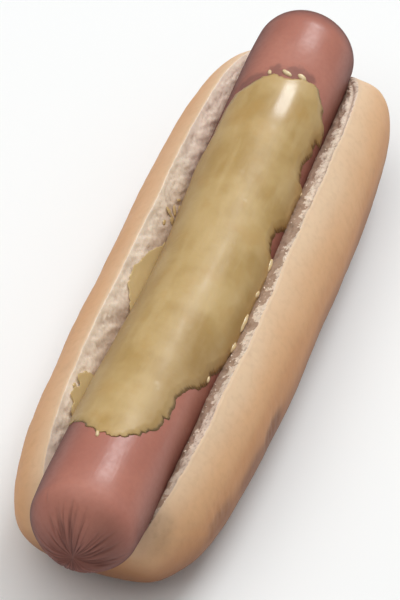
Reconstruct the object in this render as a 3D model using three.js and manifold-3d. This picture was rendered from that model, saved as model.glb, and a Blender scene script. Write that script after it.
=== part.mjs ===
// A hot dog: a split roll, a sausage with puckered ends lying in it, and a coat of mustard.
// Millimetres, +Z up. The roll lies along Y, its closed and puckered near end towards -Y,
// and the origin is at the middle of the footprint.
import * as THREE from 'three';
import { mergeVertices } from 'three/addons/utils/BufferGeometryUtils.js';
import Module from 'manifold-3d';

// ---- driving dimensions ----
const SAUSAGE = {
  radius: 12,
  halfBody: 74, // from the middle to the base of each end dome
  farCap: 10.4, // length of each end dome
  nearCap: 8.6,
  knotDrop: 3.4, // how far the near dome's knot hangs below the axis
  axisHeight: 28.3, // at the middle
  endLift: 2.4, // how much higher the axis is at the dome bases
  sideShift: -0.2, // of the whole axis, away from the middle of the roll
  bulge: 1.3, // how far the middle leans to the right
  bulgeAt: -1.5,
  bulgeLength: 28,
  bodySteps: 12,
  capAngles: [14, 27, 39, 50, 60, 69, 77, 84], // degrees up each end dome
};

const PUCKER = {
  folds: 16,
  depth: 0.75,
  startAngle: 24, // degrees up the dome where the folds begin
  fullAngle: 75, // and where they are deepest
  wander: 0.25, // radians that the folds stray from even spacing
  knotWidth: 2.2, // folds fade out in the dimple below 1 over this share of the radius
  dimple: 0.9,
  dimpleAngle: 62,
};

const ROLL = {
  halfWidth: 25.6,
  length: 153,
  centreY: 5.5,
  widestHeight: 16.9,
  domeHeight: 39.6, // of the whole loaf, before it is split
  underCut: 2.2, // how far the round underside would reach below the flat base
  underSquareness: 0.7, // below 1 is squarer than an ellipse
  unevenness: 0.35,
  swellLength: 17, // along the crust
  planTaper: [3.6, 5.8], // how bluntly the width falls to the ends
  topTaper: [4.7, 2.3],
  baseTaper: [6, 3],
  stations: [0.13, 0.27, 0.41, 0.53, 0.64, 0.73, 0.81, 0.87, 0.915, 0.948, 0.971, 0.987, 0.996], // of half the length
  steps: 44,
};

const GROOVE = {
  clearance: 0.4, // between the crumb and the sausage
  lipX: 17.05, // where the split meets the crust
  lipZ: 33.9,
  topZ: 52,
  reach: 95,
  spacing: 2.5,
  wallSteps: 6,
  cradleSteps: 9,
  crumbRelief: 0.9,
  coarsePit: [4.3, 3.1], // along the roll, up the wall
  finePit: [2.3, 1.7],
};

const MUSTARD = {
  clearance: 0.3,
  thickness: 0.8,
  lumps: 0.2,
  lumpSize: [7, 28], // millimetres along, degrees round
  cornerAngle: 95, // degrees from the top where the coat turns up the crumb
  widestAngle: 134,
  scallop: 4, // degrees
  scallopLength: 2.6,
  cutAbove: 2.4,
  cutBelow: 1.0,
};

// Edges of the coat: [y, degrees from the top of the sausage], right is positive
const MUSTARD_RIGHT = [
  [-59.2, 4], [-57, 17], [-54.4, 29], [-49, 41], [-44, 45], [-39, 48], [-36, 55], [-31, 70], [-28, 68], [-23, 77],
  [-17, 84], [-10, 85], [-4, 79], [5, 83], [9, 72], [12.5, 61], [16, 62], [21, 76], [27, 74], [32, 81], [36, 61],
  [43, 67], [48, 73], [51.5, 63], [54.5, 47], [56.8, 33],
];
const MUSTARD_LEFT = [
  [-59.2, -10], [-57, -30], [-53, -58], [-47, -92], [-45, -116], [-41, -124], [-36, -123], [-32, -104],
  [-28, -86], [-15, -86], [-12, -114], [-9, -127], [-4.5, -130], [0, -126], [4, -120], [10, -106], [13, -88],
  [22, -92], [30, -76], [36.5, -51], [44, -47], [49, -41], [51, -26], [53.5, -17], [54.8, 0], [56.8, 24],
];

const COLOURS = { roll: 0xcf9f6f, sausage: 0xa5685a, mustard: 0xb99f62 };

const rad = THREE.MathUtils.degToRad;
const lerp = THREE.MathUtils.lerp;
const clamp = THREE.MathUtils.clamp;

// ---- smooth seeded noise, from -1 to 1 ----
function hash(i, j, seed) {
  let h = Math.imul(i, 374761393) ^ Math.imul(j, 668265263) ^ Math.imul(seed, 974634777);
  h = Math.imul(h ^ (h >>> 13), 1274126177);
  h ^= h >>> 16;
  return (h >>> 0) / 2147483648 - 1;
}

function noise(x, y, seed) {
  const i = Math.floor(x);
  const j = Math.floor(y);
  const u = THREE.MathUtils.smoothstep(x - i, 0, 1);
  const v = THREE.MathUtils.smoothstep(y - j, 0, 1);
  const low = lerp(hash(i, j, seed), hash(i + 1, j, seed), u);
  const high = lerp(hash(i, j + 1, seed), hash(i + 1, j + 1, seed), u);
  return lerp(low, high, v);
}

// ---- closed meshes ----
// A tube of equal rings, each closed on itself, with one pole at either end. Its rings follow each
// other towards +Y and turn from +X through -Z.
function closedTube(rings, firstPole, lastPole) {
  const count = rings[0].length;
  const points = [...rings.flat(), firstPole, lastPole];
  const first = points.length - 2;
  const last = points.length - 1;
  const index = [];
  for (let k = 0; k < count; k++) {
    const n = (k + 1) % count;
    index.push(first, n, k);
    for (let r = 0; r < rings.length - 1; r++) {
      const a = r * count;
      const b = a + count;
      index.push(a + k, a + n, b + n, a + k, b + n, b + k);
    }
    const a = (rings.length - 1) * count;
    index.push(last, a + k, a + n);
  }
  return geometryFrom(points, index);
}

// Two equal grids of points, front and back, joined round their rim.
function closedSheet(front, back) {
  const rows = front.length;
  const columns = front[0].length;
  const points = [...front.flat(), ...back.flat()];
  const offset = rows * columns;
  const at = (r, c) => r * columns + c;
  const index = [];
  const quad = (a, b, c, d) => index.push(a, b, c, a, c, d);
  for (let r = 0; r < rows - 1; r++) {
    for (let c = 0; c < columns - 1; c++) {
      quad(at(r, c), at(r, c + 1), at(r + 1, c + 1), at(r + 1, c));
      quad(offset + at(r, c), offset + at(r + 1, c), offset + at(r + 1, c + 1), offset + at(r, c + 1));
    }
  }
  const rim = [];
  for (let c = 0; c < columns - 1; c++) rim.push(at(0, c));
  for (let r = 0; r < rows - 1; r++) rim.push(at(r, columns - 1));
  for (let c = columns - 1; c > 0; c--) rim.push(at(rows - 1, c));
  for (let r = rows - 1; r > 0; r--) rim.push(at(r, 0));
  rim.forEach((a, k) => {
    const b = rim[(k + 1) % rim.length];
    quad(a, a + offset, b + offset, b);
  });
  return geometryFrom(points, index);
}

function geometryFrom(points, index) {
  const geometry = new THREE.BufferGeometry().setFromPoints(points);
  geometry.setIndex(index);
  return geometry;
}

// ---- the sausage ----
function bulgeAt(y) {
  return SAUSAGE.bulge * Math.exp(-(((y - SAUSAGE.bulgeAt) / SAUSAGE.bulgeLength) ** 2));
}

function axisPoint(y) {
  const lift = SAUSAGE.endLift * (y / SAUSAGE.halfBody) ** 2;
  return new THREE.Vector3(SAUSAGE.sideShift + bulgeAt(y), y, SAUSAGE.axisHeight + lift);
}

function axisFrame(y) {
  const sideways = (-2 * (y - SAUSAGE.bulgeAt) * bulgeAt(y)) / SAUSAGE.bulgeLength ** 2;
  const upwards = (2 * SAUSAGE.endLift * y) / SAUSAGE.halfBody ** 2;
  const along = new THREE.Vector3(sideways, 1, upwards).normalize();
  const right = new THREE.Vector3().crossVectors(along, new THREE.Vector3(0, 0, 1)).normalize();
  const up = new THREE.Vector3().crossVectors(right, along);
  return { along, right, up };
}

// How far a fold pulls the dome's skin inwards, from 0 on a ridge to 1 in a valley.
function foldAt(angle, side) {
  const wander = PUCKER.wander * Math.sin(3 * angle + side);
  const phase = (PUCKER.folds * angle) / 2 + wander;
  return 1 - Math.abs(Math.sin(phase));
}

// Centre of a dome's ring at an angle up the dome, moved along by a further sink.
function domeCentre(side, h, sink) {
  const y = side * SAUSAGE.halfBody;
  const length = side > 0 ? SAUSAGE.farCap : SAUSAGE.nearCap;
  const centre = axisPoint(y).addScaledVector(axisFrame(y).along, side * (length * Math.sin(h) - sink));
  if (side < 0) centre.z -= SAUSAGE.knotDrop * Math.sin(h) ** 4;
  return centre;
}

function sausageRing(centre, y, radius, foldDepth, side) {
  const steps = 4 * PUCKER.folds;
  const { right, up } = axisFrame(y);
  return Array.from({ length: steps }, (_, k) => {
    const angle = (-2 * Math.PI * k) / steps;
    const r = radius - foldDepth * foldAt(angle, side);
    return centre.clone()
      .addScaledVector(right, r * Math.cos(angle))
      .addScaledVector(up, r * Math.sin(angle));
  });
}

function sausageCap(side) {
  return SAUSAGE.capAngles.map((degrees) => {
    const h = rad(degrees);
    const fold = THREE.MathUtils.smoothstep(degrees, PUCKER.startAngle, PUCKER.fullAngle);
    const sink = PUCKER.dimple * THREE.MathUtils.smoothstep(degrees, PUCKER.dimpleAngle, 90);
    const depth = PUCKER.depth * fold * Math.min(1, PUCKER.knotWidth * Math.cos(h));
    const centre = domeCentre(side, h, sink);
    return sausageRing(centre, side * SAUSAGE.halfBody, SAUSAGE.radius * Math.cos(h), depth, side);
  });
}

function sausageGeometry() {
  const body = Array.from({ length: SAUSAGE.bodySteps + 1 }, (_, k) => {
    const y = lerp(-SAUSAGE.halfBody, SAUSAGE.halfBody, k / SAUSAGE.bodySteps);
    return sausageRing(axisPoint(y), y, SAUSAGE.radius, 0, 1);
  });
  const rings = [...sausageCap(-1).reverse(), ...body, ...sausageCap(1)];
  const poles = [-1, 1].map((side) => domeCentre(side, Math.PI / 2, PUCKER.dimple));
  return closedTube(rings, ...poles);
}

// ---- the roll ----
// Section of the whole loaf at v, from -1 at the near end to 1 at the far end.
function loafSection(v) {
  const taper = ([power, root]) => (1 - Math.abs(v) ** power) ** (1 / root);
  return {
    width: ROLL.halfWidth * taper(ROLL.planTaper),
    top: (ROLL.domeHeight - ROLL.widestHeight) * taper(ROLL.topTaper),
    bottom: (ROLL.widestHeight + ROLL.underCut) * taper(ROLL.baseTaper),
  };
}

function loafPoint(v, angle) {
  const { width, top, bottom } = loafSection(v);
  const y = ROLL.centreY + (v * ROLL.length) / 2;
  const c = Math.cos(angle);
  const s = Math.sin(angle);
  const swell = 1 + (ROLL.unevenness / ROLL.halfWidth) * noise(y / ROLL.swellLength, 2.2 * c + 7, 11) * (1 - Math.abs(c) ** 6);
  const x = width * c * swell;
  const rise = s >= 0 ? top * s : -bottom * Math.abs(s) ** ROLL.underSquareness;
  return new THREE.Vector3(x, y, Math.max(0, ROLL.widestHeight + rise * swell));
}

function loafGeometry() {
  const { stations, steps } = ROLL;
  const places = [...stations.map((v) => -v).reverse(), 0, ...stations];
  const rings = places.map((v) => Array.from({ length: steps }, (_, k) => (
    loafPoint(v, (-2 * Math.PI * k) / steps)
  )));
  return closedTube(rings, loafPoint(-1, 0), loafPoint(1, 0));
}

// The crumb wall at one side (-1 left, 1 right): a line from the lip that just touches the groove.
function crumbWall(y, side) {
  const axis = axisPoint(y);
  const distance = SAUSAGE.radius + GROOVE.clearance;
  const dx = GROOVE.lipX - side * axis.x;
  const dz = GROOVE.lipZ - axis.z;
  const tilt = Math.acos(distance / Math.hypot(dx, dz)) - Math.atan2(dz, dx);
  return {
    axis,
    distance,
    length: Math.sqrt(dx * dx + dz * dz - distance * distance),
    tilt,
    normal: new THREE.Vector3(side * Math.cos(tilt), 0, -Math.sin(tilt)),
    upwards: new THREE.Vector3(side * Math.sin(tilt), 0, Math.cos(tilt)),
  };
}

function wallPoint(wall, outwards, along) {
  return wall.axis.clone()
    .addScaledVector(wall.normal, wall.distance + outwards)
    .addScaledVector(wall.upwards, along);
}

// Torn crumb: pits of two sizes, never standing out towards the sausage.
function crumbPit(y, along, side) {
  const coarse = noise(y / GROOVE.coarsePit[0], along / GROOVE.coarsePit[1], 20 + side);
  const fine = noise(y / GROOVE.finePit[0], along / GROOVE.finePit[1], 40 + side);
  return GROOVE.crumbRelief * clamp(0.45 + 0.4 * coarse + 0.35 * fine, 0, 1);
}

function grooveSide(y, side) {
  const wall = crumbWall(y, side);
  const steps = GROOVE.wallSteps;
  const points = [];
  for (let k = 0; k <= steps; k++) {
    const along = (wall.length * 1.04 * k) / steps;
    const pit = k === 0 ? 0 : crumbPit(y, along, side);
    points.push(wallPoint(wall, pit, along));
  }
  const exit = (GROOVE.topZ - wall.axis.z + wall.normal.z * -wall.distance) / wall.upwards.z;
  points.push(wallPoint(wall, crumbPit(y, exit, side), exit));
  return points;
}

function grooveCradle(y) {
  const axis = axisPoint(y);
  const from = Math.PI + crumbWall(y, -1).tilt;
  const to = 2 * Math.PI - crumbWall(y, 1).tilt;
  const steps = GROOVE.cradleSteps;
  const points = [];
  for (let k = 1; k < steps; k++) {
    const angle = lerp(from, to, k / steps);
    const r = SAUSAGE.radius + GROOVE.clearance;
    points.push(new THREE.Vector3(axis.x + r * Math.cos(angle), y, axis.z + r * Math.sin(angle)));
  }
  return points;
}

function grooveGeometry() {
  const steps = Math.round((2 * GROOVE.reach) / GROOVE.spacing);
  const rings = Array.from({ length: steps + 1 }, (_, k) => {
    const y = lerp(-GROOVE.reach, GROOVE.reach, k / steps);
    return [...grooveSide(y, -1).reverse(), ...grooveCradle(y), ...grooveSide(y, 1)].reverse();
  });
  return closedTube(rings, middleOf(rings[0]), middleOf(rings.at(-1)));
}

function middleOf(ring) {
  const sum = ring.reduce((total, p) => total.add(p), new THREE.Vector3());
  return sum.divideScalar(ring.length);
}

// ---- the mustard ----
function edgeAngle(table, y) {
  const next = Math.max(1, table.findIndex(([at]) => at >= y));
  const [y0, a0] = table[next - 1];
  const [y1, a1] = table[next];
  return lerp(a0, a1, THREE.MathUtils.smoothstep(y, y0, y1));
}

// A point of the coat: over the sausage first, and past the corner angle up the crumb wall.
function coatPoint(y, degrees, lift) {
  const side = Math.sign(degrees) || 1;
  const wall = crumbWall(y, side);
  const r = SAUSAGE.radius + lift;
  const toWall = wall.distance - lift;
  const corner = Math.PI / 2 + wall.tilt - Math.acos(Math.min(1, toWall / r));
  const share = Math.abs(degrees) / MUSTARD.cornerAngle;
  if (share <= 1) {
    const angle = side * corner * share;
    return new THREE.Vector3(wall.axis.x + r * Math.sin(angle), y, wall.axis.z + r * Math.cos(angle));
  }
  const climb = rad(Math.abs(degrees) - MUSTARD.cornerAngle) * SAUSAGE.radius;
  return wallPoint(wall, -lift, Math.sqrt(Math.max(0, r * r - toWall * toWall)) + climb);
}

// The coat at full width, before its ragged outline is cut from it.
function coatBand() {
  const rows = 24;
  const columns = 28;
  const front = [];
  const back = [];
  for (let r = 0; r <= rows; r++) {
    const y = lerp(MUSTARD_RIGHT[0][0] - 3, MUSTARD_RIGHT.at(-1)[0] + 3, r / rows);
    const outer = [];
    const inner = [];
    for (let c = 0; c <= columns; c++) {
      const degrees = MUSTARD.widestAngle * lerp(-1, 1, c / columns);
      const lump = MUSTARD.lumps * noise(y / MUSTARD.lumpSize[0], degrees / MUSTARD.lumpSize[1], 71);
      inner.push(coatPoint(y, degrees, MUSTARD.clearance));
      outer.push(coatPoint(y, degrees, MUSTARD.clearance + MUSTARD.thickness + lump));
    }
    front.push(outer);
    back.push(inner);
  }
  return closedSheet(front, back);
}

// A thicker sheet of the outline's shape, which takes the coat out of the band.
function coatOutline() {
  const rows = 84;
  const columns = 18;
  const front = [];
  const back = [];
  for (let r = 0; r <= rows; r++) {
    const y = lerp(MUSTARD_RIGHT[0][0], MUSTARD_RIGHT.at(-1)[0], r / rows);
    const left = edgeAngle(MUSTARD_LEFT, y) + MUSTARD.scallop * noise(y / MUSTARD.scallopLength, 0.5, 61);
    const right = edgeAngle(MUSTARD_RIGHT, y) + MUSTARD.scallop * noise(y / MUSTARD.scallopLength, 0.5, 62);
    const angles = Array.from({ length: columns + 1 }, (_, c) => lerp(left, right, c / columns));
    front.push(angles.map((degrees) => coatPoint(y, degrees, MUSTARD.cutAbove)));
    back.push(angles.map((degrees) => coatPoint(y, degrees, -MUSTARD.cutBelow)));
  }
  return closedSheet(front, back);
}

// ---- joins and cuts ----
const wasm = await Module();
wasm.setup();

function solidOf(geometry) {
  geometry.deleteAttribute('normal');
  geometry.deleteAttribute('uv');
  const merged = mergeVertices(geometry);
  return new wasm.Manifold(new wasm.Mesh({
    numProp: 3,
    vertProperties: Float32Array.from(merged.attributes.position.array),
    triVerts: Uint32Array.from(merged.index.array),
  }));
}

function geometryOf(solid) {
  const { vertProperties, triVerts } = solid.getMesh();
  const geometry = new THREE.BufferGeometry();
  geometry.setAttribute('position', new THREE.BufferAttribute(vertProperties, 3));
  geometry.setIndex(new THREE.BufferAttribute(triVerts, 1));
  return geometry;
}

function rollGeometry() {
  return geometryOf(solidOf(loafGeometry()).subtract(solidOf(grooveGeometry())));
}

function mustardGeometry() {
  return geometryOf(solidOf(coatBand()).intersect(solidOf(coatOutline())));
}

// ---- assembly ----
function piece(name, geometry, color, roughness) {
  geometry.computeVertexNormals();
  const mesh = new THREE.Mesh(geometry, new THREE.MeshStandardMaterial({ color, roughness, metalness: 0 }));
  mesh.name = name;
  return mesh;
}

const group = new THREE.Group();
group.add(piece('bun', rollGeometry(), COLOURS.roll, 0.8));
group.add(piece('sausage', sausageGeometry(), COLOURS.sausage, 0.4));
group.add(piece('mustard', mustardGeometry(), COLOURS.mustard, 0.3));

export default group;
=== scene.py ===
import math
from types import SimpleNamespace

import bmesh
import bpy
import numpy as np
from mathutils import Matrix, Vector, geometry, kdtree, noise


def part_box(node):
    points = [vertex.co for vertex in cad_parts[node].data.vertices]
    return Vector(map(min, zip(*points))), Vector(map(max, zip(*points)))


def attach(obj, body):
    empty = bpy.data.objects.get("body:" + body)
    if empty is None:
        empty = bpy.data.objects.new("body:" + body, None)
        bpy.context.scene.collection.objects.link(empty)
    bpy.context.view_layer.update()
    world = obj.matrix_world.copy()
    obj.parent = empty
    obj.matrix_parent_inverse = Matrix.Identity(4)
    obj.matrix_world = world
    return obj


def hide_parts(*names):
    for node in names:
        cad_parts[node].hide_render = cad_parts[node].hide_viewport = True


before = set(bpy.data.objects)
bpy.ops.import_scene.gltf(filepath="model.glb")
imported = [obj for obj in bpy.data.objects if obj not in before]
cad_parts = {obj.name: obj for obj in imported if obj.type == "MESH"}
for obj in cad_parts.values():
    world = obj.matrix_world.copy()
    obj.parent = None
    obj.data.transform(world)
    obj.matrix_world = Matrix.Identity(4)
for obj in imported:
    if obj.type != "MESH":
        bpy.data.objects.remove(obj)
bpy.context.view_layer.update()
print("frame loaded")

mm = 0.001               # sizes are in millimetres unless a name says otherwise
scene = bpy.context.scene
scene.view_settings.view_transform = "Standard"


# "halfBody" becomes "Half body" where a node group shows it.
def spoken(key):
    return "".join(" " + c.lower() if c.isupper() else c for c in key).capitalize()


def feed(node, values):
    for key, value in values.items():
        if isinstance(value, Wire):
            value.tree.links.new(value.socket, node.inputs[key])
        else:
            node.inputs[key].default_value = value


# Adds a node with its inputs given by name or in order, and hands back one of its outputs.
def addNode(tree, kind, inputs=(), output=0, **settings):
    node = tree.nodes.new(kind)
    for name, value in settings.items():
        setattr(node, name, value)
    feed(node, inputs if isinstance(inputs, dict) else dict(enumerate(inputs)))
    return Wire(tree, node.outputs[output])


def shapeNode(tree, kind, inputs=(), output=0, **settings):
    return addNode(tree, "GeometryNode" + kind, inputs, output, **settings)


# The output of a node, with plain arithmetic on it, so that a tree reads like a formula.
class Wire:
    def __init__(self, tree, socket):
        self.tree = tree
        self.socket = socket

    def maths(self, operation, *values):
        return addNode(self.tree, "ShaderNodeMath", (self, *values), operation=operation)

    def vector(self, operation, *values):
        output = "Value" if operation in ("DOT_PRODUCT", "LENGTH") else "Vector"
        return addNode(self.tree, "ShaderNodeVectorMath", (self, *values), output, operation=operation)

    def scaled(self, amount):
        inputs = {0: self, "Scale": amount}
        return addNode(self.tree, "ShaderNodeVectorMath", inputs, "Vector", operation="SCALE")

    def clamped(self):
        self.socket.node.use_clamp = True
        return self

    def ramp(self, low, high, toLow=0.0, toHigh=1.0):
        inputs = (self, low, high, toLow, toHigh)
        return addNode(self.tree, "ShaderNodeMapRange", inputs, interpolation_type="SMOOTHSTEP")

    def mix(self, a, b):
        colorA, colorB, colorResult = 6, 7, 2
        inputs = {0: self, colorA: a, colorB: b}
        return addNode(self.tree, "ShaderNodeMix", inputs, colorResult, data_type="RGBA")

    # The geometry, passed on through another geometry node.
    def through(self, kind, **inputs):
        return shapeNode(self.tree, kind, {"Geometry": self, **inputs})

    def __add__(self, other):
        return self.maths("ADD", other)

    def __sub__(self, other):
        return self.maths("SUBTRACT", other)

    def __rsub__(self, other):
        return addNode(self.tree, "ShaderNodeMath", (other, self), operation="SUBTRACT")

    def __mul__(self, other):
        return self.maths("MULTIPLY", other)

    def __truediv__(self, other):
        return self.maths("DIVIDE", other)

    def __rtruediv__(self, other):
        return addNode(self.tree, "ShaderNodeMath", (other, self), operation="DIVIDE")


def combine(*parts):
    tree = next(part.tree for part in parts if isinstance(part, Wire))
    return addNode(tree, "ShaderNodeCombineXYZ", parts)


def xyz(vector):
    node = vector.tree.nodes.new("ShaderNodeSeparateXYZ")
    feed(node, {0: vector})
    return [Wire(vector.tree, socket) for socket in node.outputs]


def noiseNode(vector, scale, detail):
    return addNode(vector.tree, "ShaderNodeTexNoise", {"Vector": vector, "Scale": scale, "Detail": detail})


def attribute(tree, name):
    return addNode(tree, "ShaderNodeAttribute", output="Fac", attribute_name=name)


def srgb(r, g, b):
    linear = [((c / 255 + 0.055) / 1.055) ** 2.4 if c > 10 else c / 255 / 12.92 for c in (r, g, b)]
    return (*linear, 1.0)


# Lays colors over a base one after the other, each through its own mask.
def layered(base, *layers):
    base = srgb(*base) if isinstance(base, tuple) else base
    for mask, color in layers:
        base = mask.mix(base, srgb(*color))
    return base


def socketKind(value):
    if isinstance(value, str):
        return value
    if isinstance(value, tuple):
        return "Color" if len(value) == 4 else "Vector"
    return "Int" if isinstance(value, int) else "Float"


# A new node group. An input is given by its starting value, or by its kind where it has none.
def newGroup(name, kind, inputs, outputs):
    tree = bpy.data.node_groups.new(name, kind)
    for key, value in inputs.items():
        socketType = "NodeSocket" + socketKind(value)
        made = tree.interface.new_socket(name=spoken(key), in_out="INPUT", socket_type=socketType)
        if not isinstance(value, str):
            made.default_value = value
    for label, socket in outputs.items():
        tree.interface.new_socket(name=label, in_out="OUTPUT", socket_type="NodeSocket" + socket)
    start = tree.nodes.new("NodeGroupInput")
    given = SimpleNamespace(**{key: Wire(tree, start.outputs[spoken(key)]) for key in inputs})
    return tree, given, tree.nodes.new("NodeGroupOutput")


def newShapeTree(name, **inputs):
    return newGroup(name, "GeometryNodeTree", {"geometry": "Geometry", **inputs}, {"Geometry": "Geometry"})


def placeGroup(group, **values):
    tree = values["vector"].tree
    node = tree.nodes.new("ShaderNodeGroup")
    node.node_tree = group
    feed(node, {spoken(key): value for key, value in values.items()})
    return {socket.name: Wire(tree, socket) for socket in node.outputs}


viewSettings = dict(azimuth=19.1, elevation=47.55, distance=791.7, lens=208.2, aimRight=-0.46, aimUp=15.4)


def buildCamera(s):
    az, el = math.radians(s["azimuth"]), math.radians(s["elevation"])
    back = Vector((math.sin(az) * math.cos(el), -math.cos(az) * math.cos(el), math.sin(el)))
    right = Vector((math.cos(az), math.sin(az), 0))
    up = back.cross(right)
    camera = bpy.data.objects.new("camera", bpy.data.cameras.new("camera"))
    scene.collection.objects.link(camera)
    camera.location = (right * s["aimRight"] + up * s["aimUp"] + back * s["distance"]) * mm
    camera.rotation_mode = "QUATERNION"
    camera.rotation_quaternion = Matrix((right, up, back)).transposed().to_quaternion()
    camera.data.lens = s["lens"]
    camera.data.clip_start = 0.01
    camera.data.clip_end = 20
    scene.camera = camera


studioSettings = dict(
    lights=dict(
        keyLight=dict(direction=(0.165, 0.63, 0.759), distance=2.6, size=(1.12, 0.8), watts=31.0,
                      color=(0.93, 0.97, 1.0)),
        topLight=dict(direction=(-0.2, -0.1, 1.0), distance=1.4, size=(1.6, 1.6), watts=8.1,
                      color=(1.0, 0.99, 0.97))),
    airColor=(0.98, 0.99, 1.0), skyStrength=0.55, rimStrength=0.08, skyHeight=0.85,
    floorColor=(0.92, 0.92, 0.91), floorSize=3,
)


def addSoftbox(name, direction, distance, size, watts, color):
    lamp = bpy.data.lights.new(name, "AREA")
    lamp.shape = "RECTANGLE"
    lamp.size, lamp.size_y = size          # metres
    lamp.energy = watts
    lamp.color = color
    holder = bpy.data.objects.new(name, lamp)
    scene.collection.objects.link(holder)
    outward = Vector(direction).normalized()
    holder.location = outward * distance
    holder.rotation_mode = "QUATERNION"
    holder.rotation_quaternion = outward.to_track_quat("Z", "Y")


def buildStudio(s):
    for name, light in s["lights"].items():
        addSoftbox(name, **light)
    world = bpy.data.worlds.new("studioAir")
    world.use_nodes = True
    tree = world.node_tree
    # the air is bright overhead and dim near the horizon
    height = xyz(addNode(tree, "ShaderNodeTexCoord", output="Generated"))[2]
    strength = height.ramp(0.0, s["skyHeight"], s["rimStrength"], s["skyStrength"])
    feed(tree.nodes["Background"], {"Color": (*s["airColor"], 1), "Strength": strength})
    scene.world = world
    bm = bmesh.new()
    bmesh.ops.create_grid(bm, x_segments=1, y_segments=1, size=s["floorSize"])
    mesh = bpy.data.meshes.new("floor")
    bm.to_mesh(mesh)
    bm.free()
    floor = bpy.data.objects.new("floor", mesh)
    scene.collection.objects.link(floor)
    paint = bpy.data.materials.new("paleFloor")
    paint.use_nodes = True
    feed(paint.node_tree.nodes["Principled BSDF"], {"Base Color": (*s["floorColor"], 1), "Roughness": 0.9})
    mesh.materials.append(paint)


buildCamera(viewSettings)
buildStudio(studioSettings)
print("camera and light ready")


# Soft patches, streaks or specks, from one noise stretched and cut off between two levels.
def buildMottleGroup():
    tree, given, end = newGroup(
        "mottle", "ShaderNodeTree",
        dict(vector="Vector", sizeMm=5.0, squeeze=(1, 1, 1), detail=4.0, low=0.35, high=0.65),
        {"Mask": "Float", "Raw": "Float"})
    squeezed = given.vector.vector("MULTIPLY", given.squeeze)
    raw = noiseNode(squeezed, 1000.0 / given.sizeMm, given.detail)
    feed(end, {"Mask": raw.ramp(given.low, given.high), "Raw": raw})
    return tree


# The color of torn white crumb, used by the roll's inside and by the loose flecks.
def buildCrumbGroup():
    tree, given, end = newGroup(
        "tornCrumb", "ShaderNodeTree",
        dict(vector="Vector", light=srgb(248, 231, 212), dark=srgb(178, 154, 134), hollow=0.0),
        {"Color": "Color", "Height": "Float"})
    speck = noiseNode(given.vector, 1000 / 1.1, 5.0)
    patch = noiseNode(given.vector, 1000 / 5.0, 3.0)
    dark = speck.ramp(0.5, 0.72) * 0.14 + patch.ramp(0.4, 0.7) * 0.22
    # darker where a hollow is given; on the roll that is painted shade in the crumb's hollows
    dark = (dark + given.hollow).clamped()
    feed(end, {"Color": dark.mix(given.light, given.dark), "Height": speck})
    return tree


# How near a point lies to a short stroke between two places, with a ragged border.
def buildStrokeGroup():
    tree, given, end = newGroup(
        "stroke", "ShaderNodeTree",
        dict(vector="Vector", start=(0, 0, 0), stop=(0, 0, 0), widthMm=2.0, ragged=0.5, grainMm=2.0),
        {"Mask": "Float"})
    span = given.stop.vector("SUBTRACT", given.start)
    offset = given.vector.vector("SUBTRACT", given.start)
    square = span.vector("DOT_PRODUCT", span).maths("MAXIMUM", 1e-9)
    share = (offset.vector("DOT_PRODUCT", span) / square).clamped()
    away = offset.vector("SUBTRACT", span.scaled(share)).vector("LENGTH")
    away = away * 1000.0 / given.widthMm
    wobble = noiseNode(given.vector, 1000.0 / given.grainMm, 4.0)
    wobble = (wobble - 0.5) * (given.ragged * 3.0)
    feed(end, {"Mask": (away + wobble).ramp(1.0, 0.3)})
    return tree


mottleGroup = buildMottleGroup()
crumbGroup = buildCrumbGroup()
strokeGroup = buildStrokeGroup()


def mottle(coords, size, detail, low=0.35, high=0.65, squeeze=(1, 1, 1)):
    outputs = placeGroup(
        mottleGroup, vector=coords, sizeMm=size, detail=detail, low=low, high=high, squeeze=squeeze)
    return outputs["Mask"], outputs["Raw"]


def stroke(coords, start, stop, width, ragged, grain):
    return placeGroup(
        strokeGroup, vector=coords, start=[c * mm for c in start], stop=[c * mm for c in stop],
        widthMm=width, ragged=ragged, grainMm=grain)["Mask"]


def newMaterial(name):
    material = bpy.data.materials.new(name)
    material.use_nodes = True
    tree = material.node_tree
    coords = addNode(tree, "ShaderNodeTexCoord", output="Object")
    return material, tree, tree.nodes["Principled BSDF"], coords


def addBump(shader, height, distance):
    bump = addNode(height.tree, "ShaderNodeBump", {"Distance": distance * mm, "Height": height})
    feed(shader, {"Normal": bump})


def smoothstep(low, high, value):
    t = np.clip((value - low) / (high - low), 0, 1)
    return t * t * (3 - 2 * t)


def bell(value, centre, width):
    return np.exp(-((value - centre) / width) ** 2)


# The distance covered after each step, from 0.
def running(steps):
    return np.append(0.0, np.cumsum(steps))


def noiseAt(points, size, octaves=1, offset=0.0):
    shift = Vector((offset, offset * 1.7, offset * 0.6))
    if octaves == 1:
        return np.array([noise.noise(Vector(p) / size + shift) for p in points])
    return np.array([noise.fractal(Vector(p) / size + shift, 0.9, 2.1, octaves) for p in points])


# Puts numbers or lists side by side as the columns of one table.
def columns(*parts):
    return np.stack(np.broadcast_arrays(*parts), axis=-1)


def unit(vectors):
    return vectors / np.maximum(np.linalg.norm(vectors, axis=1, keepdims=True), 1e-9)


def finishMesh(mesh, mergeDistance=1e-6):
    bm = bmesh.new()
    bm.from_mesh(mesh)
    bmesh.ops.delete(bm, geom=[v for v in bm.verts if not v.link_faces], context="VERTS")
    bmesh.ops.remove_doubles(bm, verts=bm.verts, dist=mergeDistance)
    bmesh.ops.dissolve_degenerate(bm, edges=bm.edges, dist=mergeDistance)
    bmesh.ops.recalc_face_normals(bm, faces=bm.faces)
    if bm.calc_volume(signed=True) < 0:
        bmesh.ops.reverse_faces(bm, faces=bm.faces)
    for face in bm.faces:
        face.smooth = True
    bm.to_mesh(mesh)
    bm.free()


def storeValues(mesh, name, values):
    layer = mesh.attributes.new(name, "FLOAT", "POINT")
    layer.data.foreach_set("value", np.asarray(values, dtype=np.float32).ravel())


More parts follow.
